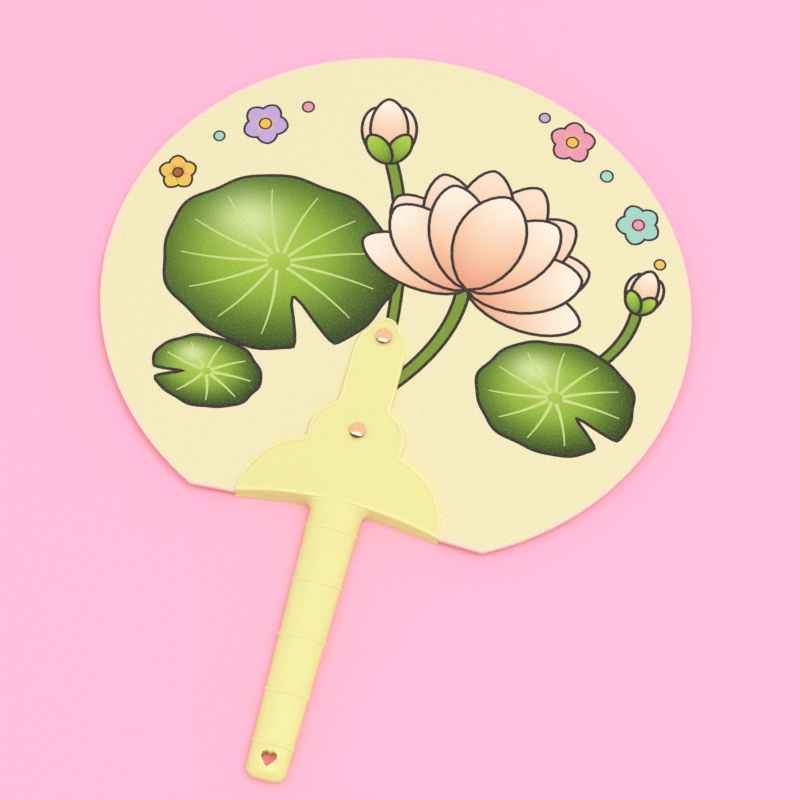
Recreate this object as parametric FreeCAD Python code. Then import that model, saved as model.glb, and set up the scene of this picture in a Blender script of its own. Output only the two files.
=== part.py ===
import FreeCAD, Part
import math
import os

# A round uchiwa fan lying on its back. A stiff oval leaf, a board between two cloths, is clamped
# between the two halves of a plastic handle by two double-cap rivets.
# All sizes are millimetres. X runs across the fan, Y from the end of the grip to the top of the
# leaf, and Z up from the table. While the pieces are made, Y = 0 is at both ends of the leaf's
# foot and Z = 0 its middle plane. The last step moves them all to the middle of the fan's own box.

# Leaf: an oval whose lower end is cut across, in a shallow arch
LEAF_WIDTH = 280.0
LEAF_HEIGHT = 240.5
LEAF_FOOT = 136.0
LEAF_FOOT_ARCH = 2.0
CLOTH_THICKNESS = 0.4
CORE_THICKNESS = 2.2

# Plate of the handle, seen from the front: two low lobes, two middle lobes and a tongue
LOW_LOBE_WIDTH = 95.0
LOW_LOBE_RADIUS = 31.5
LOW_LOBE_Y = 1.5
MID_LOBE_WIDTH = 44.4
MID_LOBE_RADIUS = 16.0
MID_LOBE_Y = 38.2
TONGUE_WIDTH = 24.4
TONGUE_TOP = 99.6
TONGUE_TAPER = 36.5
TONGUE_SHOULDER_RADIUS = 15.5
TONGUE_TIP_RADIUS = 6.0
NOTCH_RADIUS = 3.0
WAIST_RADIUS = 3.0
PLATE_FOOT_Y = 5.0
PLATE_FOOT_RADIUS = 255.0
PLATE_CORNER_RADIUS = 0.9
INNER_CORNER_RADIUS = 0.5

# Plate of the handle, through its thickness
PLATE_WALL = 1.8
FOOT_WALL_LEAN = 1.2
TONGUE_THICKNESS = 1.8
PLATE_EDGE_ROUND = 0.8
FACE_CROWN_RADIUS = 230.0
BEAD_WIDTH = 1.5
BEAD_HEIGHT = 0.35
BEAD_GAP_RADIUS = 80.0
LEAF_CLEARANCE = 0.3

# Grip
GRIP_LENGTH = 120.5
GRIP_ROOT_WIDTH = 23.7
GRIP_END_WIDTH = 17.7
GRIP_ROOT_RISE = 8.2
GRIP_END_RISE = 5.15
GRIP_REAR_DEPTH = 5.05
GRIP_CROWN_RISE = 0.65
GRIP_WALL = 2.0
GRIP_END_PLAN_ROUND = 4.6
GRIP_END_DEPTH_ROUND = 3.2
GRIP_ROOT_FILLET = 5.0
RING_PROUD = 0.45
RING_WIDTH = 2.2
RING_COUNT = 4
RING_FIRST_Y = -6.7
RING_PITCH = 25.2
END_RING_FROM_END = 15.2

# Heart-shaped hang hole at the end of the grip
HEART_WIDTH = 6.7
HEART_LOBE_RADIUS = 1.85
HEART_TIP_RADIUS = 0.8
HEART_HEIGHT = 6.1
HEART_TIP_FROM_END = 5.6
HEART_WALL = 3.0
HEART_EDGE_ROUND = 1.2

# Pegs of the front half and their sockets in the rear half
PEG_DIAMETER = 3.0
PEG_DEPTH = 3.0
PEG_CLEARANCE = 0.1
PEG_TIP_CLEARANCE = 0.3
PEG_SOCKET_WALL = 1.5

# Rivets: each a cap rolled over a flanged tube in front, and over a flanged post behind
UPPER_RIVET_Y = 89.7
LOWER_RIVET_Y = 40.8
CAP_DIAMETER = 7.7
CAP_HEIGHT = 1.9
CAP_SHEET = 0.3
CAP_EDGE_RADIUS = 0.45
CAP_SHOULDER_RADIUS = 0.9
CAP_HEM_WIDTH = 0.8
FLANGE_THICKNESS = 0.3
FLANGE_CLEARANCE = 0.05
TUBE_DIAMETER = 3.0
TUBE_WALL = 0.35
TUBE_CLEARANCE = 0.2
POST_CLEARANCE = 0.05
RIVET_END_GAP = 0.3
SEAT_DIAMETER = 11.0
SEAT_DEPTH = 0.3
BOSS_DIAMETER = 12.0
REAR_CAP_RECESS = 0.2
REAR_CAP_CLEARANCE = 0.3

# Levels above and below the leaf's middle plane
LEAF_HALF = CORE_THICKNESS / 2 + CLOTH_THICKNESS
CORE_HALF = CORE_THICKNESS / 2
HANDLE_REACH = 2 * (GRIP_ROOT_RISE + GRIP_REAR_DEPTH)
FACE_AT_FOOT = GRIP_ROOT_RISE
FACE_AT_TIP = LEAF_HALF + TONGUE_THICKNESS
REAR_FACE = GRIP_REAR_DEPTH + RING_PROUD
REAR_SEAT = REAR_FACE - REAR_CAP_RECESS - CAP_HEIGHT
FACE_SLOPE = math.atan2(FACE_AT_FOOT - FACE_AT_TIP, TONGUE_TOP - PLATE_FOOT_Y)
FAR = 4 * (LEAF_WIDTH + LEAF_HEIGHT + GRIP_LENGTH)


def vec(x, y, z=0.0):
    return FreeCAD.Vector(x, y, z)


def heading(start, end):
    """The angle in degrees of the line from one point to another."""
    return math.degrees(math.atan2(end[1] - start[1], end[0] - start[0]))


def on_circle(centre, radius, angle):
    turn = math.radians(angle)
    return (centre[0] + radius * math.cos(turn), centre[1] + radius * math.sin(turn))


def touching_centre(centre_a, reach_a, centre_b, reach_b):
    """The point at a given reach from each of two centres, on the right of the way from a to b."""
    across = math.hypot(centre_b[0] - centre_a[0], centre_b[1] - centre_a[1])
    along = (reach_a ** 2 - reach_b ** 2 + across ** 2) / (2 * across)
    aside = math.degrees(math.acos(along / reach_a))
    return on_circle(centre_a, reach_a, heading(centre_a, centre_b) - aside)


def mirrored(segments):
    """The same run of arcs and lines on the other side of the Y axis, in reverse order."""
    flipped = []
    for segment in reversed(segments):
        if segment[0] == "arc":
            kind, centre, radius, start, end = segment
            flipped.append((kind, (-centre[0], centre[1]), radius, 180 - end, 180 - start))
        else:
            kind, start, end = segment
            flipped.append((kind, (-end[0], end[1]), (-start[0], start[1])))
    return flipped


def flat_wire(segments, z):
    """A closed level wire of arcs and lines that follow one another."""
    edges = []
    for segment in segments:
        if segment[0] == "arc":
            kind, centre, radius, start, end = segment
            angles = (start, (start + end) / 2, end)
            points = [vec(*on_circle(centre, radius, angle), z) for angle in angles]
            edges.append(Part.Arc(*points).toShape())
        else:
            kind, start, end = segment
            edges.append(Part.makeLine(vec(*start, z), vec(*end, z)))
    return Part.Wire(edges)


def prism(segments, low, high):
    return Part.Face(flat_wire(segments, low)).extrude(vec(0, 0, high - low))


def slab(low, high):
    """All the room between two levels."""
    return Part.makeBox(2 * FAR, 2 * FAR, high - low, vec(-FAR, -FAR, low))


def post(radius, y, low, high):
    """An upright cylinder on the fan's axis."""
    return Part.makeCylinder(radius, high - low, vec(0, y, low))


# Leaf outline. The oval passes through both ends of the straight foot.
half_width = LEAF_WIDTH / 2
foot_share = math.sqrt(1 - (LEAF_FOOT / LEAF_WIDTH) ** 2)
half_height = LEAF_HEIGHT / (1 + foot_share)
leaf_centre = vec(0, half_height * foot_share)

# Plate outline. Each fillet's centre lies where it touches both of its neighbours.
low_centre = (LOW_LOBE_WIDTH / 2 - LOW_LOBE_RADIUS, LOW_LOBE_Y)
mid_centre = (MID_LOBE_WIDTH / 2 - MID_LOBE_RADIUS, MID_LOBE_Y)
foot_centre = (0.0, PLATE_FOOT_Y - PLATE_FOOT_RADIUS)
tip_centre = (0.0, TONGUE_TOP - TONGUE_TIP_RADIUS)
taper_normal = (math.cos(math.radians(TONGUE_TAPER)), math.sin(math.radians(TONGUE_TAPER)))
shoulder_x = TONGUE_WIDTH / 2 - TONGUE_SHOULDER_RADIUS
shoulder_drop = TONGUE_SHOULDER_RADIUS - TONGUE_TIP_RADIUS + shoulder_x * taper_normal[0]
shoulder_centre = (shoulder_x, tip_centre[1] - shoulder_drop / taper_normal[1])
waist_x = TONGUE_WIDTH / 2 + WAIST_RADIUS
waist_rise = math.sqrt((MID_LOBE_RADIUS + WAIST_RADIUS) ** 2 - (waist_x - mid_centre[0]) ** 2)
waist_centre = (waist_x, MID_LOBE_Y + waist_rise)
notch_reach_low = LOW_LOBE_RADIUS + NOTCH_RADIUS
notch_reach_mid = MID_LOBE_RADIUS + NOTCH_RADIUS
notch_centre = touching_centre(low_centre, notch_reach_low, mid_centre, notch_reach_mid)


def wall_lean(z):
    """How far the plate's lower wall stands back at a level, from its place at the middle plane."""
    return FOOT_WALL_LEAN * z / (GRIP_ROOT_RISE + GRIP_REAR_DEPTH)


def plate_outline(inset, z):
    """The plate's outline at a level, from the right lower corner to the left, moved inwards."""
    corner_radius = max(PLATE_CORNER_RADIUS - inset, INNER_CORNER_RADIUS)
    reach_low = LOW_LOBE_RADIUS - inset - corner_radius
    foot_radius = PLATE_FOOT_RADIUS + wall_lean(z) + inset
    reach_foot = foot_radius + corner_radius
    corner_centre = touching_centre(foot_centre, reach_foot, low_centre, reach_low)
    low_start = heading(low_centre, corner_centre)
    low_end = heading(low_centre, notch_centre)
    mid_start = heading(mid_centre, notch_centre)
    mid_end = heading(mid_centre, waist_centre)
    foot_end = heading(foot_centre, corner_centre)
    side_x = TONGUE_WIDTH / 2 - inset
    shoulder_radius = TONGUE_SHOULDER_RADIUS - inset
    tip_radius = TONGUE_TIP_RADIUS - inset
    taper_start = on_circle(shoulder_centre, shoulder_radius, TONGUE_TAPER)
    taper_end = on_circle(tip_centre, tip_radius, TONGUE_TAPER)
    right = [
        ("arc", corner_centre, corner_radius, foot_end - 180, low_start),
        ("arc", low_centre, LOW_LOBE_RADIUS - inset, low_start, low_end),
        ("arc", notch_centre, NOTCH_RADIUS + inset, low_end + 180, mid_start + 180),
        ("arc", mid_centre, MID_LOBE_RADIUS - inset, mid_start, mid_end),
        ("arc", waist_centre, WAIST_RADIUS + inset, mid_end + 180, 180),
        ("line", (side_x, waist_centre[1]), (side_x, shoulder_centre[1])),
        ("arc", shoulder_centre, shoulder_radius, 0, TONGUE_TAPER),
        ("line", taper_start, taper_end),
    ]
    tip = [("arc", tip_centre, tip_radius, TONGUE_TAPER, 180 - TONGUE_TAPER)]
    foot = [("arc", foot_centre, foot_radius, 180 - foot_end, foot_end)]
    return right + tip + mirrored(right) + foot


def plate_block(inset, low, high):
    """The room inside the plate's outline between two levels."""
    wires = [flat_wire(plate_outline(inset, z), z) for z in (low, high)]
    return Part.makeLoft(wires, True, True)


def foot_window(clearance):
    """The room that the plate's lower wall takes up, which the leaf is cut away to clear."""
    half = LOW_LOBE_WIDTH / 2 - 2 * LEAF_CLEARANCE + clearance
    radius = PLATE_FOOT_RADIUS + wall_lean(LEAF_HALF) + PLATE_WALL + clearance
    lean = math.degrees(math.asin(half / radius))
    right = on_circle(foot_centre, radius, 90 - lean)
    low = -2 * GRIP_LENGTH
    return [
        ("line", (-half, low), (half, low)),
        ("line", (half, low), right),
        ("arc", foot_centre, radius, 90 - lean, 90 + lean),
        ("line", (-right[0], right[1]), (-half, low)),
    ]


def leaf_layer(low, high):
    """One layer of the leaf, with its rivet holes and its window for the plate's lower wall."""
    wide = half_width >= half_height
    long_end = vec(half_width, 0) if wide else vec(0, half_height)
    short_end = vec(0, half_height) if wide else vec(-half_width, 0)
    oval_curve = Part.Ellipse(leaf_centre + long_end, leaf_centre + short_end, leaf_centre)
    start = oval_curve.parameter(vec(LEAF_FOOT / 2, 0))
    end = oval_curve.parameter(vec(-LEAF_FOOT / 2, 0))
    if end < start:
        end = end + 2 * math.pi
    rim = Part.ArcOfEllipse(oval_curve, start, end).toShape()
    foot_ends = (vec(-LEAF_FOOT / 2, 0), vec(LEAF_FOOT / 2, 0))
    foot = Part.Arc(foot_ends[0], vec(0, LEAF_FOOT_ARCH), foot_ends[1]).toShape()
    sheet = Part.Face(Part.Wire([rim, foot])).extrude(vec(0, 0, high - low))
    sheet.translate(vec(0, 0, low))
    sheet = sheet.cut(prism(foot_window(LEAF_CLEARANCE), low, high))
    for y in (UPPER_RIVET_Y, LOWER_RIVET_Y):
        sheet = sheet.cut(post(TUBE_DIAMETER / 2 + TUBE_CLEARANCE, y, low, high))
    return sheet


def rounding(steps):
    """Pairs of (along, inwards), each from 0 to 1, round a quarter circle from side to top."""
    turns = [math.radians(90 * step / steps) for step in range(steps + 1)]
    return [(math.sin(turn), 1 - math.cos(turn)) for turn in turns]


def rear_blank():
    """The rear plate's outline as a block with its rear edge rounded."""
    levels = [(0.0, LEAF_HALF)]
    for along, inwards in rounding(4):
        levels.append((PLATE_EDGE_ROUND * inwards, PLATE_EDGE_ROUND * (1 - along) - REAR_FACE))
    wires = [flat_wire(plate_outline(inset, z), z) for inset, z in levels]
    return Part.makeLoft(wires, True, True)


def front_face_z(y):
    """The height of the front face along the fan's axis."""
    return FACE_AT_FOOT - (y - PLATE_FOOT_Y) * math.tan(FACE_SLOPE)


def under_face(lift):
    """All the room under the front face, which is crowned across and falls towards the tip."""
    start_y = PLATE_FOOT_Y - LEAF_HEIGHT
    upright = vec(0, math.sin(FACE_SLOPE), math.cos(FACE_SLOPE))
    start = vec(0, start_y, front_face_z(start_y)) - upright * FACE_CROWN_RADIUS
    along = vec(0, math.cos(FACE_SLOPE), -math.sin(FACE_SLOPE))
    room = Part.makeCylinder(FACE_CROWN_RADIUS + lift, 3 * LEAF_HEIGHT, start, along)
    seam = room.Faces[0].valueAt(0, 0) - start
    room.rotate(start, along, 180 + math.degrees(math.atan2(-seam.x, seam.dot(upright))))
    return room


def upright_arc(y, centre, radius, start, end):
    """An arc in the upright plane at a given Y, from one angle to another."""
    spots = [on_circle(centre, radius, angle) for angle in (start, (start + end) / 2, end)]
    return Part.Arc(*[vec(x, y, z) for x, z in spots]).toShape()


def crown_shape(half, depth):
    """The side radius, crown radius and turning angle of one half of a grip section."""
    side = depth * (1 - GRIP_CROWN_RISE / GRIP_REAR_DEPTH)
    crown = ((half - side) ** 2 + depth ** 2 - side ** 2) / (2 * (depth - side))
    return side, crown, heading((0, depth - crown), (half - side, 0))


def grip_section(y, half, rise, depth):
    """An upright section of the grip: a crown in front, a flatter one behind, and round sides."""
    front_side, front_crown, front_lean = crown_shape(half, rise)
    rear_side, rear_crown, rear_lean = crown_shape(half, depth)
    arcs = [
        ((half - front_side, 0), front_side, 0, front_lean),
        ((0, rise - front_crown), front_crown, front_lean, 180 - front_lean),
        ((front_side - half, 0), front_side, 180 - front_lean, 180),
        ((rear_side - half, 0), rear_side, 180, 180 + rear_lean),
        ((0, rear_crown - depth), rear_crown, 180 + rear_lean, 360 - rear_lean),
        ((half - rear_side, 0), rear_side, 360 - rear_lean, 360),
    ]
    return Part.Wire([upright_arc(y, *arc) for arc in arcs])


def grip_half_width(y):
    """Half the grip's width, which narrows evenly from the leaf's foot to the grip's end."""
    return (GRIP_ROOT_WIDTH + (GRIP_ROOT_WIDTH - GRIP_END_WIDTH) * y / GRIP_LENGTH) / 2


def grip_rise(y):
    """The height of the grip's crown over the parting plane, which falls towards its end."""
    share = (PLATE_FOOT_Y - y) / (PLATE_FOOT_Y + GRIP_LENGTH)
    return GRIP_ROOT_RISE + (GRIP_END_RISE - GRIP_ROOT_RISE) * share


ring_places = [RING_FIRST_Y - RING_PITCH * ring for ring in range(RING_COUNT)]
ring_places.append(END_RING_FROM_END - GRIP_LENGTH)


def grip_blank():
    """The outside of the whole grip: a rounded end, raised rings and a flared root."""
    sections = []
    for along, inwards in reversed(rounding(6)):
        y = GRIP_END_PLAN_ROUND * (1 - along) - GRIP_LENGTH
        half = grip_half_width(y) - GRIP_END_PLAN_ROUND * inwards
        drop = GRIP_END_DEPTH_ROUND * inwards
        sections.append((y, half, grip_rise(y) - drop, GRIP_REAR_DEPTH - drop))
    for place in reversed(ring_places):
        for step in range(-3, 4):
            y = place + RING_WIDTH / 2 * step / 3
            swell = RING_PROUD * (1 - (step / 3) ** 2)
            half = grip_half_width(y) + swell
            sections.append((y, half, grip_rise(y) + swell, GRIP_REAR_DEPTH + swell))
    root_half = grip_half_width(PLATE_FOOT_Y)
    wall_arch = (root_half + GRIP_ROOT_FILLET) ** 2 / (2 * PLATE_FOOT_RADIUS)
    wall_y = PLATE_FOOT_Y + wall_lean(GRIP_ROOT_RISE / 2) - wall_arch
    for along, inwards in rounding(8):
        y = wall_y - GRIP_ROOT_FILLET * (1 - along)
        half = grip_half_width(y) + GRIP_ROOT_FILLET * inwards
        sections.append((y, half, grip_rise(y), GRIP_REAR_DEPTH))
    inside_y = PLATE_FOOT_Y + (PLATE_WALL + wall_lean(GRIP_ROOT_RISE)) / 2
    sections.append((inside_y, root_half + GRIP_ROOT_FILLET, GRIP_ROOT_RISE, GRIP_REAR_DEPTH))
    return Part.makeLoft([grip_section(*section) for section in sections], True, True)


def grip_hollow():
    """The room inside the grip, above its solid end round the hang hole."""
    solid_end = HEART_TIP_FROM_END + HEART_HEIGHT + HEART_WALL
    wires = []
    for y in (solid_end - GRIP_LENGTH, PLATE_FOOT_Y + PLATE_WALL):
        half = grip_half_width(y) - GRIP_WALL
        wires.append(grip_section(y, half, grip_rise(y) - GRIP_WALL, GRIP_REAR_DEPTH - GRIP_WALL))
    hollow = Part.makeLoft(wires, True, True)
    return hollow.cut(plate_block(0, -HANDLE_REACH, HANDLE_REACH))


def heart(grow):
    """A heart with its tip towards the grip's end, moved outwards by a given amount."""
    tip_y = HEART_TIP_FROM_END - GRIP_LENGTH
    lobe = (HEART_WIDTH / 2 - HEART_LOBE_RADIUS, tip_y + HEART_HEIGHT - HEART_LOBE_RADIUS)
    tip = (0.0, tip_y + HEART_TIP_RADIUS)
    reach = math.hypot(lobe[0], lobe[1] - tip[1])
    turn = math.degrees(math.acos((HEART_LOBE_RADIUS - HEART_TIP_RADIUS) / reach))
    side = heading(lobe, tip) + turn
    lobe_radius = HEART_LOBE_RADIUS + grow
    tip_radius = HEART_TIP_RADIUS + grow
    cleft = 180 - math.degrees(math.acos(lobe[0] / lobe_radius))
    right = [
        ("line", on_circle(tip, tip_radius, side), on_circle(lobe, lobe_radius, side)),
        ("arc", lobe, lobe_radius, side, cleft),
    ]
    return right + mirrored(right) + [("arc", tip, tip_radius, -180 - side, side)]


def heart_hole():
    """The hole, with both of its mouths rounded into the grip's crowns."""
    hole = prism(heart(0), -HANDLE_REACH, HANDLE_REACH)
    heart_y = HEART_TIP_FROM_END + HEART_HEIGHT / 2 - GRIP_LENGTH
    for way, level in ((-1, GRIP_REAR_DEPTH), (1, grip_rise(heart_y))):
        wires = []
        for along, inwards in rounding(4):
            z = way * (level - HEART_EDGE_ROUND * (1 - along))
            wires.append(flat_wire(heart(HEART_EDGE_ROUND * inwards), z))
        wires.append(flat_wire(heart(HEART_EDGE_ROUND), way * (level + HEART_EDGE_ROUND)))
        hole = hole.fuse(Part.makeLoft(wires, True, True))
    return hole


def turned(profile):
    """A solid of revolution about Z from a closed profile of (radius, height) edges."""
    return Part.Face(Part.Wire(profile)).revolve(vec(0, 0), vec(0, 0, 1), 360)


def cap_dome(shrink):
    """Half of a cap's dome, a crown arc and a shoulder arc, moved inwards by the sheet."""
    reach = CAP_DIAMETER / 2 - CAP_SHOULDER_RADIUS
    rise = CAP_HEIGHT - CAP_EDGE_RADIUS
    crown = (reach ** 2 + rise ** 2 - CAP_SHOULDER_RADIUS ** 2) / (2 * (rise - CAP_SHOULDER_RADIUS))
    crown_centre = (0, CAP_HEIGHT - crown)
    shoulder_centre = (reach, CAP_EDGE_RADIUS)
    lean = heading(crown_centre, shoulder_centre)
    shoulder_arc = upright_arc(0, shoulder_centre, CAP_SHOULDER_RADIUS - shrink, 0, lean)
    return shoulder_arc, upright_arc(0, crown_centre, crown - shrink, lean, 90)


def rivet_cap():
    """A domed sheet cap, its hem rolled under, standing on Z = 0."""
    radius = CAP_DIAMETER / 2
    outer_shoulder, outer_crown = cap_dome(0)
    inner_shoulder, inner_crown = cap_dome(CAP_SHEET)
    hem_in = radius - CAP_HEM_WIDTH
    roll_centre = (radius - CAP_EDGE_RADIUS, CAP_EDGE_RADIUS)
    inner_corner = vec(radius - CAP_SHEET, 0, CAP_SHEET)
    profile = [
        Part.makeLine(vec(hem_in, 0, 0), vec(roll_centre[0], 0, 0)),
        upright_arc(0, roll_centre, CAP_EDGE_RADIUS, -90, 0),
        outer_shoulder,
        outer_crown,
        Part.makeLine(vec(0, 0, CAP_HEIGHT), vec(0, 0, CAP_HEIGHT - CAP_SHEET)),
        inner_crown,
        inner_shoulder,
        Part.makeLine(vec(inner_corner.x, 0, CAP_EDGE_RADIUS), inner_corner),
        Part.makeLine(inner_corner, vec(hem_in, 0, CAP_SHEET)),
        Part.makeLine(vec(hem_in, 0, CAP_SHEET), vec(hem_in, 0, 0)),
    ]
    return turned(profile)


def rivet(y):
    """The four pieces of one rivet, set through the handle and the leaf."""
    seat = front_face_z(y) - SEAT_DEPTH
    flange_radius = CAP_DIAMETER / 2 - CAP_SHEET - FLANGE_CLEARANCE
    bore = TUBE_DIAMETER / 2 - TUBE_WALL
    flange_low = seat + CAP_SHEET
    flange_top = flange_low + FLANGE_THICKNESS
    rear_flange_top = -REAR_SEAT - CAP_SHEET
    socket = post(flange_radius, y, flange_low, flange_top)
    socket = socket.fuse(post(TUBE_DIAMETER / 2, y, rear_flange_top + RIVET_END_GAP, flange_low))
    socket = socket.cut(post(bore, y, -FAR, FAR))
    shank = post(flange_radius, y, rear_flange_top - FLANGE_THICKNESS, rear_flange_top)
    shank = shank.fuse(post(bore - POST_CLEARANCE, y, rear_flange_top, flange_top - RIVET_END_GAP))
    front_cap = rivet_cap()
    front_cap.translate(vec(0, y, seat))
    rear_cap = rivet_cap()
    rear_cap.rotate(vec(0, 0), vec(1, 0, 0), 180)
    rear_cap.translate(vec(0, y, -REAR_SEAT))
    return front_cap, socket.removeSplitter(), shank.removeSplitter(), rear_cap


grip = grip_blank()
hollow = grip_hollow()
hole = heart_hole()
whole_grip = grip.cut(hollow)
leaf_room = slab(-LEAF_HALF, LEAF_HALF).cut(prism(foot_window(0), -HANDLE_REACH, HANDLE_REACH))
peg_places = [ring_places[0] - RING_PITCH / 2, ring_places[-2] + RING_PITCH / 2]
tube_hole_radius = TUBE_DIAMETER / 2 + TUBE_CLEARANCE


def bead_rim(plate):
    """The outer edges of the bead's top."""
    radius = FACE_CROWN_RADIUS + BEAD_HEIGHT
    for face in plate.Faces:
        surface = face.Surface
        if isinstance(surface, Part.Cylinder) and abs(surface.Radius - radius) < BEAD_HEIGHT / 2:
            return face.OuterWire.Edges


def beaded_plate():
    """The front plate's outside: a crowned face inside a low bead with a rounded rim."""
    plate = plate_block(0, -GRIP_REAR_DEPTH, HANDLE_REACH).common(under_face(BEAD_HEIGHT))
    tray = plate_block(BEAD_WIDTH, -GRIP_REAR_DEPTH, HANDLE_REACH)
    plate = plate.cut(tray.cut(under_face(0)))
    plate = plate.makeFillet(PLATE_EDGE_ROUND, bead_rim(plate))
    gap_start = vec(0, PLATE_FOOT_Y - BEAD_WIDTH, FACE_AT_FOOT + BEAD_GAP_RADIUS)
    return plate.cut(Part.makeCylinder(BEAD_GAP_RADIUS, 3 * BEAD_WIDTH, gap_start, vec(0, 1, 0)))


def make_front_half():
    plate = beaded_plate()
    pocket = plate_block(PLATE_WALL, -GRIP_REAR_DEPTH, HANDLE_REACH)
    pocket = pocket.common(under_face(-PLATE_WALL))
    pocket_top = UPPER_RIVET_Y - BOSS_DIAMETER
    below_rivet = Part.makeBox(2 * FAR, FAR, 2 * FAR, vec(-FAR, pocket_top - FAR, -FAR))
    plate = plate.cut(pocket.common(below_rivet))
    half = plate.fuse(whole_grip).common(slab(0, HANDLE_REACH)).cut(leaf_room)
    boss = post(BOSS_DIAMETER / 2, LOWER_RIVET_Y, LEAF_HALF, front_face_z(LOWER_RIVET_Y) - SEAT_DEPTH)
    half = half.fuse(boss)
    for y in peg_places:
        peg = post(PEG_DIAMETER / 2, y, -PEG_DEPTH, grip_rise(y) - GRIP_WALL / 2)
        half = half.fuse(peg)
    for y in (UPPER_RIVET_Y, LOWER_RIVET_Y):
        seat = front_face_z(y) - SEAT_DEPTH
        half = half.cut(post(SEAT_DIAMETER / 2, y, seat, HANDLE_REACH))
        half = half.cut(post(tube_hole_radius, y, -HANDLE_REACH, HANDLE_REACH))
    return half.cut(hole).removeSplitter()


def make_rear_half():
    plate = rear_blank().cut(plate_block(PLATE_WALL, PLATE_WALL - REAR_FACE, HANDLE_REACH))
    for y in (UPPER_RIVET_Y, LOWER_RIVET_Y):
        boss = post(BOSS_DIAMETER / 2, y, PLATE_WALL / 2 - REAR_FACE, -LEAF_HALF)
        plate = plate.fuse(boss.common(plate_block(0, -HANDLE_REACH, 0)))
    half = plate.fuse(whole_grip).common(slab(-HANDLE_REACH, 0)).cut(leaf_room)
    for y in peg_places:
        socket_radius = PEG_DIAMETER / 2 + PEG_CLEARANCE + PEG_SOCKET_WALL
        half = half.fuse(post(socket_radius, y, GRIP_WALL / 2 - GRIP_REAR_DEPTH, 0))
    for y in peg_places:
        peg_room = PEG_DEPTH + PEG_TIP_CLEARANCE
        half = half.cut(post(PEG_DIAMETER / 2 + PEG_CLEARANCE, y, -peg_room, HANDLE_REACH))
    for y in (UPPER_RIVET_Y, LOWER_RIVET_Y):
        half = half.cut(post(CAP_DIAMETER / 2 + REAR_CAP_CLEARANCE, y, -HANDLE_REACH, -REAR_SEAT))
        half = half.cut(post(tube_hole_radius, y, -HANDLE_REACH, HANDLE_REACH))
    return half.cut(hole).removeSplitter()


nodes = {
    "front_cloth": leaf_layer(CORE_HALF, LEAF_HALF),
    "core_board": leaf_layer(-CORE_HALF, CORE_HALF),
    "rear_cloth": leaf_layer(-LEAF_HALF, -CORE_HALF),
    "handle_front_half": make_front_half(),
    "handle_rear_half": make_rear_half(),
}
for name, y in (("upper_rivet", UPPER_RIVET_Y), ("lower_rivet", LOWER_RIVET_Y)):
    pieces = rivet(y)
    for piece, shape in zip(("front_cap", "socket", "post", "rear_cap"), pieces):
        nodes[name + "_" + piece] = shape

# The fan's origin is the middle of its own box, on the table that it lies on.
os.makedirs("parts", exist_ok=True)
to_origin = vec(0, (GRIP_LENGTH - LEAF_HEIGHT) / 2, REAR_FACE)
for name, shape in nodes.items():
    shape.translate(to_origin)
    solids = shape.Solids
    print(name, len(solids), "solid,", round(shape.Volume / 1000, 2), "cm3, valid", shape.isValid())
    solids[0].exportStep("parts/" + name + ".step")
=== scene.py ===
# %% [markdown]
# # A round uchiwa fan on a studio table
#
# The fan is a stiff oval leaf, cut across at its foot and riveted between the two plates of a
# plastic handle. The CAD model already holds every solid at its real size, so it is loaded first
# and used as the frame. Its hard pieces stay as they are and get better materials. The two cloths
# are modelled again here, because cloth needs a print, a weave and a softer edge than a CAD slab
# has.

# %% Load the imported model
import math

import bpy
import numpy as np
from mathutils.geometry import delaunay_2d_cdt
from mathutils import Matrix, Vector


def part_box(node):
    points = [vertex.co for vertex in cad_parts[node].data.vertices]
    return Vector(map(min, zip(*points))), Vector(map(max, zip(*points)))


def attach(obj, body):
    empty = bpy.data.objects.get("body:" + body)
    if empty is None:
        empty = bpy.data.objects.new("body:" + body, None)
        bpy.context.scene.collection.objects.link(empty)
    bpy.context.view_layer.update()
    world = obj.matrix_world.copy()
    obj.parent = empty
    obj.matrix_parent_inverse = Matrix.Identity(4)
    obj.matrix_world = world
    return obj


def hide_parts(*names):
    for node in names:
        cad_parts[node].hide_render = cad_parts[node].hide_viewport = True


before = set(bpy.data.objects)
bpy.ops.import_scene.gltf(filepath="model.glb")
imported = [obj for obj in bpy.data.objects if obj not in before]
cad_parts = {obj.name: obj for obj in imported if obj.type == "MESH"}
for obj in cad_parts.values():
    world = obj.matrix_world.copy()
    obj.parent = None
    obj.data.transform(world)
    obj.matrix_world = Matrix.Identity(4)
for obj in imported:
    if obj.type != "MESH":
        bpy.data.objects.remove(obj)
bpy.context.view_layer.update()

# %% [markdown]
# ## Camera
#
# The photograph looks down on the table from the grip's side, a little from the right. A camera
# is placed by walking back from the point it aims at. With no turn, a camera looks straight down,
# so its X angle is what is missing to 90 degrees, and its Z angle is the walk round the table.

# %% Aim the camera
LENS_ANGLE = math.radians(25.0)
ELEVATION = math.radians(69.5)
AZIMUTH = math.radians(13.99)
DISTANCE = 0.8325
AIM = (0.01482, 0.00172, 0.0070)

away = (math.sin(AZIMUTH) * math.cos(ELEVATION),
        -math.cos(AZIMUTH) * math.cos(ELEVATION),
        math.sin(ELEVATION))
spot = [aim + DISTANCE * step for aim, step in zip(AIM, away)]
bpy.ops.object.camera_add(location=spot, rotation=(math.pi / 2 - ELEVATION, 0, AZIMUTH))
camera = bpy.context.object
camera.data.angle = LENS_ANGLE
bpy.context.scene.camera = camera
bpy.context.scene.view_settings.view_transform = "Standard"
print("camera at", [round(value, 3) for value in spot])

# %% [markdown]
# ## Colours and nodes
#
# Colours are written as the hex values that a picture shows. Blender's nodes work in linear light,
# so one function turns the first into the second. Another adds a node with its settings, and links
# or sets each of its sockets. Every material below is made with these two.

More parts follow.
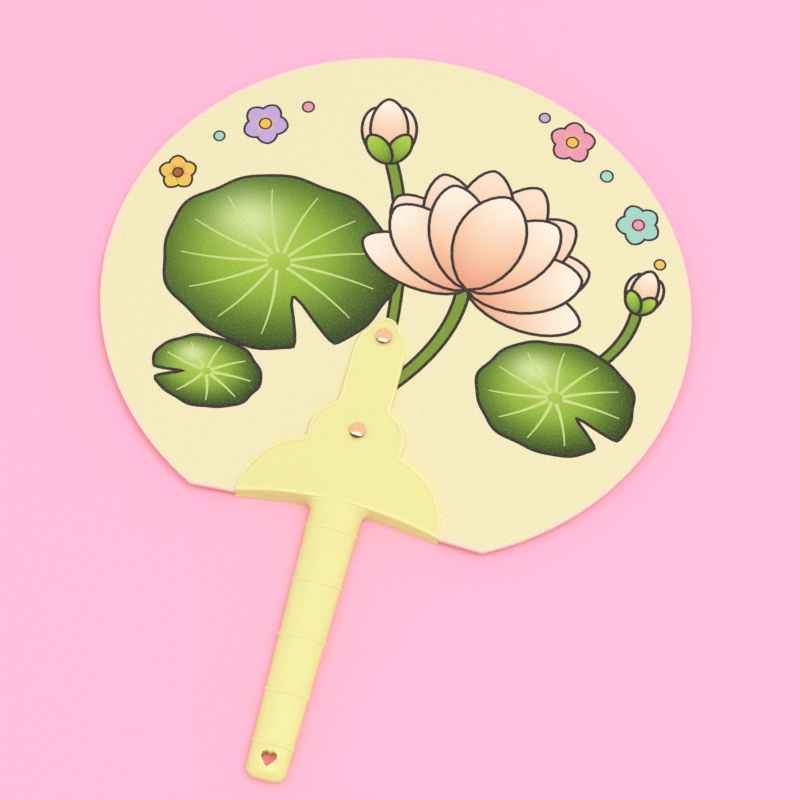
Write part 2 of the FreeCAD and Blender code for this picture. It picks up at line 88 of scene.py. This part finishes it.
# %% Two helpers for materials
def linear(hex_code):
    """The linear red, green and blue of a hex colour."""
    levels = [int(hex_code[at:at + 2], 16) / 255 for at in (1, 3, 5)]
    return [v / 12.92 if v <= 0.04045 else ((v + 0.055) / 1.055) ** 2.4 for v in levels]


def add_node(tree, kind, sockets, **settings):
    """Adds a node. A socket's value is either a plain value or the output that feeds it."""
    made = tree.nodes.new(kind)
    for name, value in settings.items():
        setattr(made, name, value)
    for name, value in sockets.items():
        if isinstance(value, bpy.types.NodeSocket):
            tree.links.new(value, made.inputs[name])
        else:
            made.inputs[name].default_value = value
    return made


MM = 0.001
print("lime in linear light:", [round(v, 3) for v in linear("#b9d64a")])

# %% [markdown]
# ## Table and light
#
# The fan lies on a plain sheet of pink paper in an evenly lit room, so its shadows are soft. The
# room is the world here. A wide softbox above gives the rivets their highlight, and a smaller lamp
# at the right draws the shadows to the left. Together they add up to about 1 on the table, at which
# a colour renders as it is written.
#
# In the photograph the paper's red is at full strength even in the shade, so its shadows are a
# deeper pink and not grey. A little red glow that only the camera sees does the same here. What the
# paper throws back on the fan is kept warm, so that the pale plastic doesn't turn mauve.

# %% Paper on the table
RED_GLOW = 0.55

paper = bpy.data.materials.new("uncoated pink paper")
paper.use_nodes = True
tree = paper.node_tree
# Uncoated paper is matt, and its pulp shows as very faint flecks about a millimetre across.
place = add_node(tree, "ShaderNodeTexCoord", {})
pulp = add_node(tree, "ShaderNodeTexNoise",
                {"Vector": place.outputs["Object"], "Scale": 1 / (1.1 * MM), "Detail": 2.0})
tint = add_node(tree, "ShaderNodeMix",
                {0: pulp.outputs[0], 6: (*linear("#b8b8d6"), 1), 7: (*linear("#c2c8e4"), 1)},
                data_type="RGBA")
ray = add_node(tree, "ShaderNodeLightPath", {})
tint = add_node(tree, "ShaderNodeMix",
                {0: ray.outputs["Is Camera Ray"], 6: (*linear("#ffd0b4"), 1), 7: tint.outputs[2]},
                data_type="RGBA")
glow = add_node(tree, "ShaderNodeMath",
                {0: ray.outputs["Is Camera Ray"], 1: RED_GLOW}, operation="MULTIPLY")
shader = tree.nodes["Principled BSDF"]
tree.links.new(tint.outputs[2], shader.inputs["Base Color"])
tree.links.new(glow.outputs[0], shader.inputs["Emission Strength"])
shader.inputs["Emission Color"].default_value = (1, 0, 0, 1)
shader.inputs["Roughness"].default_value = 0.95
shader.inputs["Specular IOR Level"].default_value = 0.1

bpy.ops.object.select_all(action="DESELECT")
bpy.ops.mesh.primitive_plane_add(size=8.0)
table = bpy.context.object
table.name = "table_paper"
table.data.materials.append(paper)
print("table of", round(table.dimensions.x, 2), "m")

# %% Room light
ROOM_LIGHT = 0.6
HORIZON_LIGHT = 0.85
UNLIT_SIDE = 0.12

world = bpy.data.worlds.new("pale room")
bpy.context.scene.world = world
world.use_nodes = True
tree = world.node_tree
ray = add_node(tree, "ShaderNodeLightPath", {})
way = add_node(tree, "ShaderNodeTexCoord", {})
part = add_node(tree, "ShaderNodeSeparateXYZ", {0: way.outputs["Generated"]})
# As in a light tent, the sides are brighter than the top, so the fan's walls are well lit too.
lit = add_node(tree, "ShaderNodeMapRange",
               {"Value": part.outputs["Z"], "From Max": 0.6, "To Min": HORIZON_LIGHT,
                "To Max": ROOM_LIGHT})
# The room lights the fan at its own level, and shows as a plain white backdrop, also in metal.
shown = add_node(tree, "ShaderNodeMath",
                 {0: ray.outputs["Is Camera Ray"], 1: ray.outputs["Is Glossy Ray"]},
                 operation="MAXIMUM")
shown = add_node(tree, "ShaderNodeMath",
                 {0: shown.outputs[0], 1: ray.outputs["Is Transmission Ray"]}, operation="MAXIMUM")
level = add_node(tree, "ShaderNodeMapRange",
                 {"Value": shown.outputs[0], "To Min": lit.outputs[0], "To Max": 1.0})
# Behind the camera the room is unlit, and polished metal mirrors that as a dark edge.
unlit = add_node(tree, "ShaderNodeMapRange",
                 {"Value": part.outputs["Y"], "From Min": -0.12, "From Max": -0.18})
unlit = add_node(tree, "ShaderNodeMath",
                 {0: unlit.outputs[0], 1: ray.outputs["Is Glossy Ray"]}, operation="MULTIPLY")
level = add_node(tree, "ShaderNodeMix",
                 {0: unlit.outputs[0], 2: level.outputs[0], 3: UNLIT_SIDE})
room = tree.nodes["Background"]
room.inputs["Color"].default_value = (1, 1, 1, 1)
tree.links.new(level.outputs[0], room.inputs["Strength"])
print("room light from", ROOM_LIGHT, "overhead to", HORIZON_LIGHT, "at the horizon")

# %% Lamps
LAMP_DISTANCE = 2.2


def add_lamp(name, tilt, turn, size, power):
    """A soft oval lamp over the fan, tilted towards the camera and then turned to the right."""
    tilt, turn = math.radians(tilt), math.radians(turn)
    spot = (LAMP_DISTANCE * math.sin(tilt) * math.sin(turn),
            -LAMP_DISTANCE * math.sin(tilt) * math.cos(turn),
            LAMP_DISTANCE * math.cos(tilt))
    bpy.ops.object.light_add(type="AREA", location=spot, rotation=(tilt, 0, turn))
    lamp = bpy.context.object
    lamp.name = name
    lamp.data.shape = "ELLIPSE"
    lamp.data.size, lamp.data.size_y = size
    lamp.data.energy = power
    print(name, "of", power, "W")
    return lamp


add_lamp("softbox", 6, 0, (2.4, 0.6), 11.0)
# The side lamp draws the shadows. Metal doesn't show it.
add_lamp("side_lamp", 18, 100, (0.8, 0.8), 9.5).visible_glossy = False

# %% [markdown]
# ## Outline of the leaf
#
# The three layers of the leaf share one outline: the oval cut across at its foot, the notch that
# clears the handle's lower wall, and two rivet holes. It is read from the CAD cloth, so the new
# sheets fit it exactly. A CAD mesh is loose triangles, so a copy of it is merged first. Each
# triangle of the upper face runs anticlockwise round its three edges, so two neighbours run along
# their common edge in opposite ways. An edge that is run along in one way only is on the outline.

# %% Read the leaf's outline
bpy.ops.object.select_all(action="DESELECT")
cloth_low, cloth_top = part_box("front_cloth")
FOOT_Y = cloth_low.y


def merged_copy(node, name):
    """A new object with a CAD node's shape, its doubled corners merged."""
    copy = bpy.data.objects.new(name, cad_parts[node].data.copy())
    bpy.context.scene.collection.objects.link(copy)
    bpy.ops.object.select_all(action="DESELECT")
    bpy.context.view_layer.objects.active = copy
    copy.select_set(True)
    bpy.ops.object.mode_set(mode="EDIT")
    bpy.ops.mesh.select_all(action="SELECT")
    bpy.ops.mesh.remove_doubles(threshold=0.005 * MM)
    bpy.ops.object.mode_set(mode="OBJECT")
    return copy


pattern = merged_copy("front_cloth", "cutting_pattern")
corners = np.array([v.co[:] for v in pattern.data.vertices])
upper = [p for p in pattern.data.polygons if p.normal.z > 0.9]
runs = [pair for p in upper for pair in zip(p.vertices, (*p.vertices[1:], p.vertices[0]))]
known = set(runs)
rim_pairs = np.array([(a, b) for a, b in runs if (b, a) not in known])
# The print is drawn in millimetres, from the middle of the leaf's foot.
rim_ends = (corners[rim_pairs][:, :, :2] - (0, FOOT_Y)) / MM
bpy.data.objects.remove(pattern)
print("outline of", len(rim_ends), "edges,", rim_ends[:, 0].min(0), "to", rim_ends[:, 0].max(0))

# %% [markdown]
# ## Print: shapes
#
# The real leaf carries a large, soft-shaded picture in greens and peach with dark outlines, and a
# few small bright motifs. Here a traditional lotus pond takes that place: round leaves, a blossom,
# buds and small scattered flowers. A shape is a closed run of points, and a few functions give all
# that is needed: petals, leaf pads, stems, and an outline pen that moves a shape outwards.

# %% Shapes of the print
def around(points, centre, turn):
    """Points turned by degrees about the origin and moved to a centre."""
    c, s = math.cos(math.radians(turn)), math.sin(math.radians(turn))
    return points @ np.array([[c, s], [-s, c]]) + centre


def petal(base, turn, length, width):
    """A pointed petal from its base, widest a little past its middle."""
    along = np.sin(np.linspace(0, math.pi / 2, 15)) ** 1.3
    half = width / 2 * along ** 0.7 * (1 - along) ** 0.62 / 0.4015
    right = np.c_[along * length, -half]
    left = np.c_[along * length, half][-2:0:-1]
    return around(np.r_[right, left], base, turn)


def pad(centre, turn, radius, squash):
    """A round floating leaf seen at a slant, with a wavy rim and a cleft at its turn."""
    angle = np.linspace(0.16, 2 * math.pi - 0.16, 72)
    rim = 1 + 0.018 * np.sin(7 * angle) + 0.012 * np.sin(12 * angle + 1)
    run = np.r_[np.c_[rim * np.cos(angle), rim * np.sin(angle)], [[0.22, 0.0]]]
    for _ in range(2):
        after = np.roll(run, -1, 0)
        run = np.stack([0.75 * run + 0.25 * after, 0.25 * run + 0.75 * after], 1).reshape(-1, 2)
    return around(run * radius, (0, 0), turn) * (1, squash) + centre


def stroke(start, bend, end, width, tip):
    """A curved stem or vein that narrows from one width to another."""
    t = np.linspace(0, 1, 17)[:, None]
    path = (1 - t) ** 2 * start + 2 * t * (1 - t) * bend + t ** 2 * end
    ahead = np.gradient(path, axis=0)
    side = np.c_[ahead[:, 1], -ahead[:, 0]] / np.linalg.norm(ahead, axis=1, keepdims=True)
    half = (width + (tip - width) * t) / 2
    return np.r_[path + side * half, (path - side * half)[::-1]]


def disc(centre, radius):
    angle = np.linspace(0, 2 * math.pi, 20, endpoint=False)
    return radius * np.c_[np.cos(angle), np.sin(angle)] + centre


def grown(shape, by):
    """A closed shape moved outwards, as by the pen that outlines it."""
    ahead = np.roll(shape, -1, 0) - np.roll(shape, 1, 0)
    out = np.c_[ahead[:, 1], -ahead[:, 0]] / np.linalg.norm(ahead, axis=1, keepdims=True)
    return shape + by * out


print("a petal has", len(petal((0, 0), 90, 60, 26)), "points")

# %% [markdown]
# ## Print: inks
#
# An ink is a function from places on the leaf to linear colours. Most shade softly from one colour
# to another, as an airbrush does: along a petal, or outwards over a leaf pad with a glow of light.

# %% Inks of the print
CLOTH = linear("#f6ecc1")
# Pale pink for the leaf's rim: painted light, the rounded cut edge lit and the paper's pink bounce.
PAINTED_RIM_LIGHT = linear("#ffe0de")
OUTLINE = "#3b3335"
PEN = 1.5


def shaded(share, stops, hexes):
    """Colours between hex stops, for an array of shares."""
    levels = np.array([linear(code) for code in hexes])
    return np.stack([np.interp(share, stops, levels[:, band]) for band in range(3)], -1)


def flat_ink(hex_code):
    return lambda spots: np.tile(linear(hex_code), (len(spots), 1))


def petal_ink(base, turn, length, width, root, middle, tip):
    """Deep at the petal's root, pale at its tip, and a little deeper along both sides."""
    def ink(spots):
        own = around(spots - base, (0, 0), -turn)
        share = own[:, 0] / length - 0.16 * (own[:, 1] / (width / 2)) ** 2
        return shaded(share, (0.0, 0.42, 0.9), (root, middle, tip))
    return ink


def pad_ink(centre, radius, squash):
    """Lime in the middle and olive at the rim, with a soft glow up and to the left."""
    def ink(spots):
        own = (spots - centre) / (radius, radius * squash)
        reach = np.hypot(own[:, 0] + 0.12, own[:, 1] - 0.1)
        base = shaded(reach, (0.0, 0.5, 0.85, 1.1), ("#b4d24a", "#93b93c", "#5f7f2b", "#3c4f20"))
        glow = np.exp(-((own[:, 0] + 0.35) ** 2 + (own[:, 1] - 0.42) ** 2) / 0.07)[:, None]
        return base + (linear("#e9f3b4") - base) * 0.75 * glow
    return ink


print("inks for petals and pads, pen", PEN, "mm")

# %% [markdown]
# ## Print: picture
#
# The picture is a list of shapes with their inks, from the lowest to the topmost, as in paper
# collage. Stems come first, then pads with their veins, then the blossom from its back petals to
# its front ones, and the small flowers last.

# %% Compose the picture
picture = []


def lay(shape, ink, pen=PEN):
    if pen:
        picture.append((grown(shape, pen), flat_ink(OUTLINE)))
    picture.append((shape, ink))


def lay_stem(start, bend, end, width):
    start, bend, end = np.array([start, bend, end])
    lay(stroke(start, bend, end, width, width * 0.8), flat_ink("#7f9f38"))


def lay_pad(centre, turn, radius, squash, veins):
    lay(pad(centre, turn, radius, squash), pad_ink(centre, radius, squash))
    for vein in range(1, veins):
        angle = turn + 360 * vein / veins
        way = around(np.array([[0.1, 0.0], [0.5, 0.05], [0.86, 0.0]]), (0, 0), angle)
        start, bend, end = way * radius * (1, squash) + centre
        picture.append((stroke(start, bend, end, 1.7, 0.5), flat_ink("#cfe08a")))


def lay_petal(base, turn, length, width, root="#ef9f80", middle="#fbd0ae", tip="#fff1e0"):
    lay(petal(base, turn, length, width), petal_ink(base, turn, length, width, root, middle, tip))


def lay_blossom(base, turn, size):
    for aside in (-58, 58, -34, 34, -11, 11):
        length = size * (1.0 - abs(aside) / 600)
        lay_petal(base, turn + aside, length, size * 0.44, "#e58d76", "#f7bd9c", "#fde3cb")
    for aside in (-86, 86):
        lay_petal(base, turn + aside, size * 0.86, size * 0.36)
    for aside in (-62, 62, -30, 30):
        lay_petal(base, turn + aside, size * 0.84, size * 0.44)
    lay_petal(base, turn, size * 0.8, size * 0.5)


def lay_bud(base, turn, size):
    for aside in (-14, 14, 0):
        lay_petal(base, turn + aside, size * (1.0 - abs(aside) / 120), size * 0.5)
    for aside in (-34, 34):
        lay_petal(base, turn + aside, size * 0.5, size * 0.26, "#5f7f2b", "#93b93c", "#b4d24a")


def lay_flower(centre, turn, size, tone, heart_tone):
    turns = [turn + 72 * leaf for leaf in range(5)]
    for way in turns:
        picture.append((grown(petal(centre, way, size, size * 0.86), 1.1), flat_ink(OUTLINE)))
    for way in turns:
        picture.append((petal(centre, way, size, size * 0.86),
                        petal_ink(centre, way, size, size, heart_tone, tone, tone)))
    lay(disc(centre, size * 0.24), flat_ink(heart_tone), 0.8)


lay_stem((30, 128), (34, 96), (4, 62), 5.0)
lay_stem((-20, 182), (-2, 150), (2, 96), 4.2)
lay_stem((112, 132), (112, 108), (86, 88), 3.6)
lay_pad((-76, 54), 200, 25, 0.66, 9)
lay_pad((84, 80), 320, 36, 0.74, 11)
lay_pad((-58, 116), 300, 55, 0.8, 13)
lay_bud((-20, 180), 104, 34)
lay_bud((112, 131), 82, 22)
lay_blossom((32, 124), 80, 64)
lay_flower((64, 212), 20, 10.5, "#f29db4", "#f6c552")
lay_flower((104, 176), 50, 10.0, "#a5dccb", "#f29db4")
lay_flower((-84, 186), 5, 10.5, "#c8abe0", "#f6c552")
lay_flower((-118, 150), 35, 8.5, "#f7c95c", "#b0683f")
dots = (((84, 198), 2.6, "#a5dccb"), ((48, 222), 2.2, "#c8abe0"), ((118, 158), 2.2, "#f7c95c"),
        ((-66, 200), 2.4, "#f29db4"), ((-104, 174), 2.2, "#a5dccb"))
for centre, size, tone in dots:
    lay(disc(centre, size), flat_ink(tone), 0.9)
print("picture of", len(picture), "shapes")

# %% [markdown]
# ## Cutting and printing the sheets
#
# A printed sheet could carry its picture as a texture, but no picture files are used here. Instead
# the sheet is cut into triangles along every line of the print, so each triangle belongs to one
# shape. Blender's Delaunay function does that, with a grid of points between the lines for the
# soft shading. A colour at each triangle's corner then holds the ink. Along the cut edge a paler,
# pinkish band of about a millimetre and a half is painted light: the rounded edge catching the
# light, and the pink paper's bounce on it. A ring of points at that width keeps the band even.

# %% Lay out a sheet in triangles
GRID = 2.0
EDGE_BAND = 1.6


def edges_of(shape):
    return np.stack([shape, np.roll(shape, -1, 0)], 1)


def within(spots, ends):
    """Which spots a closed outline goes round, by the edges that pass to the right of each."""
    turns = np.zeros(len(spots), int)
    x, y = spots[:, 0], spots[:, 1]
    for (x1, y1), (x2, y2) in ends:
        if y1 != y2:
            right = x < (x2 - x1) * (y - y1) / (y2 - y1) + x1
            turns += right & (y1 <= y) & (y < y2)
            turns -= right & (y2 <= y) & (y < y1)
    return turns != 0


def laid_out(lines):
    """Corner spots and triangles of the leaf, cut along its outline and along the given lines."""
    low, high = rim_ends.min((0, 1)), rim_ends.max((0, 1))
    columns, rows = np.arange(low[0], high[0], GRID), np.arange(low[1], high[1], GRID)
    grid = np.stack(np.meshgrid(columns, rows), -1).reshape(-1, 2)
    ahead = rim_ends[:, 1] - rim_ends[:, 0]
    inward = np.c_[-ahead[:, 1], ahead[:, 0]] / np.linalg.norm(ahead, axis=1, keepdims=True)
    ring = rim_ends.mean(1) + EDGE_BAND * inward
    gap = np.linalg.norm(grid[:, None] - ring[None], axis=2).min(1)
    grid = grid[within(grid, rim_ends) & (gap > 0.9 * GRID)]
    ends = np.concatenate([rim_ends, *lines])
    points = np.r_[ends.reshape(-1, 2), ring[within(ring, rim_ends)], grid]
    pairs = np.arange(2 * len(ends)).reshape(-1, 2)
    result = delaunay_2d_cdt([tuple(p) for p in points], pairs.tolist(), [], 0, 0.01)
    spots, faces = np.array(result[0]), np.array(result[2])
    return spots, faces[within(spots[faces].mean(1), rim_ends)]


spots, faces = laid_out([edges_of(shape) for shape, ink in picture])
print("front cloth in", len(faces), "triangles")

# %% Ink every corner
inks = np.tile(CLOTH, (len(faces), 3, 1))
middles = spots[faces].mean(1)
for shape, ink in picture:
    near = np.flatnonzero(((middles > shape.min(0)) & (middles < shape.max(0))).all(1))
    hit = near[within(middles[near], edges_of(shape))]
    inks[hit] = ink(spots[faces[hit]].reshape(-1, 2)).reshape(-1, 3, 3)
# Corners on the rim get the painted rim light, which fades inwards over the band.
on_rim = (np.abs(spots[:, None] - rim_ends[None, :, 0]) < 0.02).all(-1).any(-1)
inks[on_rim[faces]] = PAINTED_RIM_LIGHT
print("inked share of the leaf:", round((inks[:, 0] != CLOTH).any(1).mean(), 2))

# %% [markdown]
# ## Woven cloth
#
# Both faces are a thin polyester cloth. It is matt, with a fine slanting rib and an uneven, fuzzy
# tone. Ink lies on the raised threads, so a little pale fibre shows through the dark outlines.

# %% Cloth material
cloth = bpy.data.materials.new("woven polyester cloth")
cloth.use_nodes = True
# To the eye it is dry and soft: no shine, a faint diagonal grain, and a slight bloom at low angles.
tree = cloth.node_tree
shader = tree.nodes["Principled BSDF"]
place = add_node(tree, "ShaderNodeTexCoord", {})
dye = add_node(tree, "ShaderNodeAttribute", {}, attribute_name="print")
slant = add_node(tree, "ShaderNodeMapping",
                 {"Vector": place.outputs["Object"], "Rotation": (0, 0, math.radians(30))})
# The real rib is about 0.5 mm, too fine for this picture, so it is drawn at 1.3 mm.
rib = add_node(tree, "ShaderNodeTexWave",
               {"Vector": slant.outputs[0], "Scale": math.pi / 10 / (1.3 * MM), "Distortion": 3.0,
                "Detail": 2.0, "Detail Scale": 1.5})
fuzz = add_node(tree, "ShaderNodeTexNoise",
                {"Vector": place.outputs["Object"], "Scale": 1 / (1.0 * MM), "Detail": 3.0,
                 "Roughness": 0.65})
height = add_node(tree, "ShaderNodeMath",
                  {0: rib.outputs["Fac"], 1: 0.12, 2: fuzz.outputs[0]}, operation="MULTIPLY_ADD")
bump = add_node(tree, "ShaderNodeBump",
                {"Height": height.outputs[0], "Distance": 0.1 * MM, "Strength": 0.5})
grain = add_node(tree, "ShaderNodeMapRange",
                 {"Value": height.outputs[0], "From Min": 0.3, "From Max": 0.82,
                  "To Min": 0.91, "To Max": 1.07})
worn = add_node(tree, "ShaderNodeMix",
                {0: 1.0, 6: dye.outputs["Color"], 7: grain.outputs[0]},
                data_type="RGBA", blend_type="MULTIPLY")
bare = add_node(tree, "ShaderNodeMapRange",
                {"Value": fuzz.outputs[0], "From Min": 0.5, "From Max": 0.75,
                 "To Min": 0.0, "To Max": 0.12})
fibre = add_node(tree, "ShaderNodeMix",
                 {0: bare.outputs[0], 6: worn.outputs[2], 7: (*linear("#f0e4c4"), 1)},
                 data_type="RGBA")
tree.links.new(fibre.outputs[2], shader.inputs["Base Color"])
tree.links.new(bump.outputs[0], shader.inputs["Normal"])
shader.inputs["Roughness"].default_value = 0.9
shader.inputs["Specular IOR Level"].default_value = 0.2
shader.inputs["Sheen Weight"].default_value = 0.08
print("cloth nodes:", len(tree.nodes))

# %% Make the two cloths
def leaf_sheet(name, node, spots, faces, inks, material):
    """One layer of the leaf at its CAD place and thickness, inked at its corners."""
    low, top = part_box(node)
    mesh = bpy.data.meshes.new(name)
    level = np.full((len(spots), 1), top.z)
    mesh.from_pydata(np.c_[spots * MM + (0, FOOT_Y), level].tolist(), [], faces.tolist())
    ink = mesh.attributes.new("print", "FLOAT_COLOR", "CORNER")
    rgba = np.concatenate([inks, np.ones((*inks.shape[:2], 1))], 2)
    ink.data.foreach_set("color", rgba.astype(np.float32).ravel())
    mesh.materials.append(material)
    sheet = bpy.data.objects.new(name, mesh)
    bpy.context.scene.collection.objects.link(sheet)
    bpy.ops.object.select_all(action="DESELECT")
    bpy.context.view_layer.objects.active = sheet
    sheet.select_set(True)
    thick = sheet.modifiers.new("thickness", "SOLIDIFY")
    thick.thickness = top.z - low.z
    thick.offset = -1
    bpy.ops.object.modifier_apply(modifier="thickness")
    bpy.ops.object.shade_smooth_by_angle(angle=math.radians(40))
    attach(sheet, "root")
    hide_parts(node)
    print(name, "has", len(sheet.data.polygons), "faces")
    return sheet


front = leaf_sheet("front_print", "front_cloth", spots, faces, inks, cloth)

spots, faces = laid_out([])
plain = np.tile(CLOTH, (len(faces), 3, 1))
rear = leaf_sheet("rear_lining", "rear_cloth", spots, faces, plain, cloth)

# %% [markdown]
# ## Foam board
#
# The stiffener between the cloths is a white foam board. Only its cut edge shows, as a pale,
# slightly crumbly band round the leaf.

# %% Board material
board = bpy.data.materials.new("cut foam board")
board.use_nodes = True
# To the eye it is chalky: a pale matt edge with small torn cells.
tree = board.node_tree
shader = tree.nodes["Principled BSDF"]
place = add_node(tree, "ShaderNodeTexCoord", {})
cells = add_node(tree, "ShaderNodeTexNoise",
                 {"Vector": place.outputs["Object"], "Scale": 1 / (0.9 * MM), "Detail": 3.0})
bump = add_node(tree, "ShaderNodeBump",
                {"Height": cells.outputs[0], "Distance": 0.2 * MM, "Strength": 0.6})
# The faint pink in these whites is painted light, the pink paper's bounce on the white foam.
tone = add_node(tree, "ShaderNodeMix",
                {0: cells.outputs[0], 6: (*linear("#f6e2dc"), 1), 7: (*linear("#fff3ee"), 1)},
                data_type="RGBA")
tree.links.new(tone.outputs[2], shader.inputs["Base Color"])
tree.links.new(bump.outputs[0], shader.inputs["Normal"])
shader.inputs["Roughness"].default_value = 0.9
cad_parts["core_board"].material_slots[0].material = board
print("board nodes:", len(tree.nodes))

# %% [markdown]
# ## Handle
#
# Both halves are moulded in polypropylene: satin, slightly waxy and a little see-through, so light
# spreads in it and softens its edges.

# %% Handle material
plastic = bpy.data.materials.new("moulded polypropylene")
plastic.use_nodes = True
# To the eye it is waxy: broad soft highlights, pale thin edges, and a faint orange-peel skin.
tree = plastic.node_tree
shader = tree.nodes["Principled BSDF"]
place = add_node(tree, "ShaderNodeTexCoord", {})
flow = add_node(tree, "ShaderNodeTexNoise",
                {"Vector": place.outputs["Object"], "Scale": 1 / (14 * MM), "Detail": 2.0})
tone = add_node(tree, "ShaderNodeMix",
                {0: flow.outputs[0], 6: (*linear("#f3eda5"), 1), 7: (*linear("#f6f0b0"), 1)},
                data_type="RGBA")
# Moulded edges are painted paler over about a millimetre: painted light, for the light thin plastic
# lets through.
depth = add_node(tree, "ShaderNodeAmbientOcclusion", {"Distance": 1.2 * MM},
                 inside=True, samples=8)
edge = add_node(tree, "ShaderNodeMapRange",
                {"Value": depth.outputs["AO"], "From Min": 0.9, "From Max": 0.5, "To Max": 0.8})
tone = add_node(tree, "ShaderNodeMix",
                {0: edge.outputs[0], 6: tone.outputs[2], 7: (*linear("#fffcd8"), 1)},
                data_type="RGBA")
# In recesses, the hang hole most of all, light spreads further in the plastic, and a deeper yellow
# is painted in: painted light, for light that has come through from further off.
hollow = add_node(tree, "ShaderNodeAmbientOcclusion", {"Distance": 7 * MM},
                  only_local=True, samples=8)
inner = add_node(tree, "ShaderNodeMapRange",
                 {"Value": hollow.outputs["AO"], "From Min": 0.6, "From Max": 0.3})
tone = add_node(tree, "ShaderNodeMix",
                {0: inner.outputs[0], 6: tone.outputs[2], 7: (*linear("#ffdc28"), 1)},
                data_type="RGBA")
spread = add_node(tree, "ShaderNodeMapRange",
                  {"Value": inner.outputs[0], "To Min": 1.0 * MM, "To Max": 3 * MM})
skin = add_node(tree, "ShaderNodeTexNoise",
                {"Vector": place.outputs["Object"], "Scale": 1 / (0.8 * MM), "Detail": 2.0})
bump = add_node(tree, "ShaderNodeBump",
                {"Height": skin.outputs[0], "Distance": 0.02 * MM, "Strength": 0.5})
gloss = add_node(tree, "ShaderNodeMapRange",
                 {"Value": flow.outputs[0], "From Min": 0.3, "From Max": 0.7,
                  "To Min": 0.30, "To Max": 0.38})
tree.links.new(tone.outputs[2], shader.inputs["Base Color"])
tree.links.new(bump.outputs[0], shader.inputs["Normal"])
tree.links.new(gloss.outputs[0], shader.inputs["Roughness"])
shader.inputs["IOR"].default_value = 1.49
shader.inputs["Subsurface Weight"].default_value = 1.0
shader.inputs["Subsurface Radius"].default_value = (1.0, 0.9, 0.35)
tree.links.new(spread.outputs[0], shader.inputs["Subsurface Scale"])
for name in ("handle_front_half", "handle_rear_half"):
    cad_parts[name].material_slots[0].material = plastic
print("plastic nodes:", len(tree.nodes))

# %% [markdown]
# ## Rivets
#
# The caps are brass, stamped, polished and plated a pale gold. The tube and post inside them hardly
# show, so they get the same metal.

# %% Rivet materials
gold = bpy.data.materials.new("polished gold plate")
gold.use_nodes = True
# To the eye it is a small mirror, with the softbox as a bright bar and a dark lower edge.
tree = gold.node_tree
shader = tree.nodes["Principled BSDF"]
place = add_node(tree, "ShaderNodeTexCoord", {})
rub = add_node(tree, "ShaderNodeTexNoise",
               {"Vector": place.outputs["Object"], "Scale": 1 / (1.2 * MM), "Detail": 3.0})
gloss = add_node(tree, "ShaderNodeMapRange",
                 {"Value": rub.outputs[0], "From Min": 0.3, "From Max": 0.7,
                  "To Min": 0.05, "To Max": 0.09})
tree.links.new(gloss.outputs[0], shader.inputs["Roughness"])
shader.inputs["Base Color"].default_value = (*linear("#fbc49c"), 1)
shader.inputs["Metallic"].default_value = 1.0
for name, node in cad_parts.items():
    if "rivet" in name:
        node.material_slots[0].material = gold
print("gold nodes:", len(tree.nodes))
